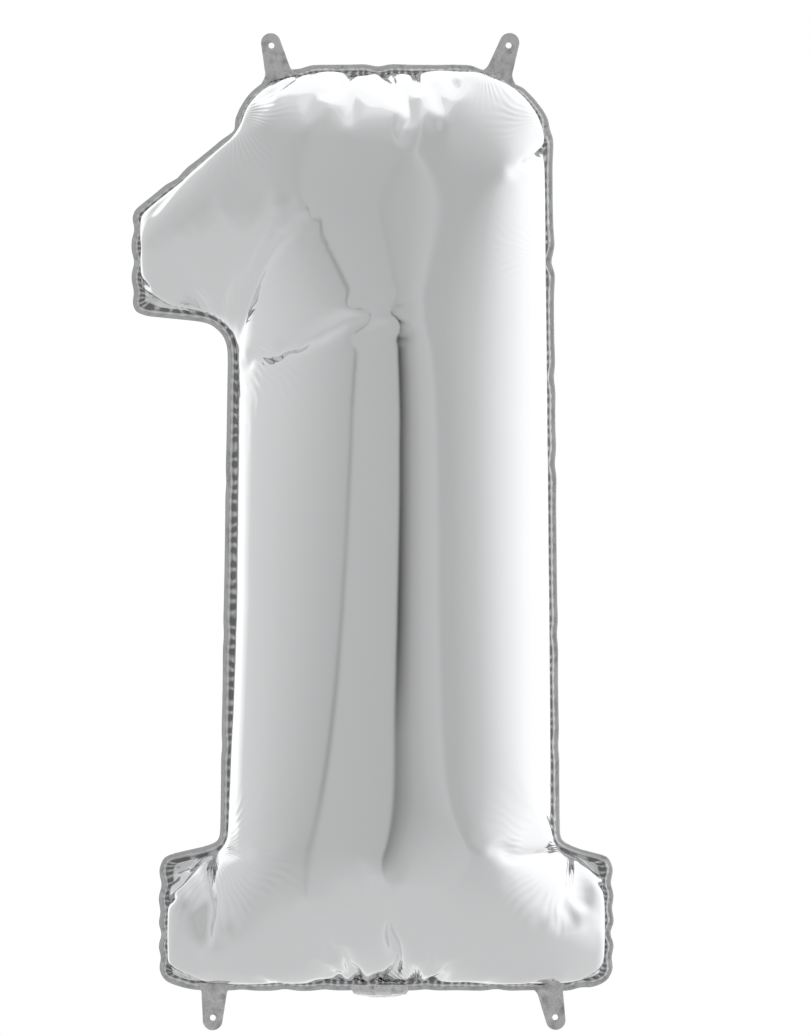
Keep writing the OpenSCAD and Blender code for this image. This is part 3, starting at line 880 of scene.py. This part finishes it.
def studio_sky():
    """Soft boxes and gaps all round, as the foil mirrors them; the camera itself sees plain white."""
    world = bpy.data.worlds.new("studio")
    bpy.context.scene.world = world
    world.use_nodes = True
    kit = Shader(world.node_tree)
    direction = kit.node("ShaderNodeTexCoord", out=0)
    parts = kit.node("ShaderNodeSeparateXYZ", out=None, Vector=direction)
    x, y, z = (Value(kit.tree, parts.outputs[k]) for k in range(3))
    turn = x.math("ARCTAN2", x, y * -1.0) / (2 * math.pi) + 0.5
    level = z * 0.5 + 0.5

    def ramp(table, whole, along):
        stops = [(0.5 + at / whole, tone) for at, tone in table]
        return kit.node("ShaderNodeValToRGB", stops=stops, Fac=along)

    sides = ramp(WALLS, 360, turn) * (1.0 - ramp(GAP, 360, turn) * ramp(GAP_DEPTH, 2, level))
    above, below = ramp(OVERHEAD, 2, level), ramp(UNDERFOOT, 2, level)
    glow = sides * (1.0 - above - below) + above * OVERHEAD_GLOW + below * FLOOR_GLOW
    seen = kit.node("ShaderNodeLightPath", out=0)
    shown = kit.node("ShaderNodeMix", {"data_type": "RGBA"}, out=None)
    seen.to(shown.inputs[0])
    glow.to(shown.inputs[6])
    shown.inputs[7].default_value = (1.0, 1.0, 1.0, 1.0)
    background = kit.node("ShaderNodeBackground", out=None)
    kit.tree.links.new(shown.outputs[2], background.inputs["Color"])
    output = kit.node("ShaderNodeOutputWorld", out=None)
    kit.tree.links.new(background.outputs[0], output.inputs["Surface"])


def floor():
    """A plain pale floor, which the foil doesn't mirror: its glow is in the studio's own light."""
    bm = bmesh.new()
    bmesh.ops.create_grid(bm, x_segments=1, y_segments=1, size=FLOOR_HALF)
    bmesh.ops.transform(bm, verts=bm.verts, matrix=Matrix.Translation((0, 0, FLOOR_Z)))
    plate = piece_from(bm, "floor", matt_stage("pale_floor", 0.8))
    plate.visible_glossy = False


def soft_light(name, spot, size, power):
    """A square lamp aimed at the balloon, which the foil doesn't mirror."""
    lamp = bpy.data.lights.new(name, "AREA")
    lamp.shape = "SQUARE"
    lamp.size = size
    lamp.energy = power
    holder = bpy.data.objects.new(name, lamp)
    holder.location = spot
    holder.rotation_euler = (Vector(AIM) - Vector(spot)).to_track_quat("-Z", "Y").to_euler()
    holder.visible_glossy = False
    bpy.context.scene.collection.objects.link(holder)


studio_sky()
floor()
soft_light("overhead", (0.4, -0.6, 1.6), 1.6, 6)
soft_light("right_box", (1.4, -0.2, -0.4), 1.0, 5)

camera_data = bpy.data.cameras.new("camera")
camera_data.sensor_width = 36.0
camera_data.lens = camera_data.sensor_width * CAMERA_AWAY / VIEW_HEIGHT
camera = bpy.data.objects.new("camera", camera_data)
camera.location = (AIM[0], -CAMERA_AWAY, AIM[2])
camera.rotation_euler = (math.pi / 2, 0, 0)
bpy.context.scene.collection.objects.link(camera)
bpy.context.scene.camera = camera
bpy.context.scene.view_settings.view_transform = "Standard"
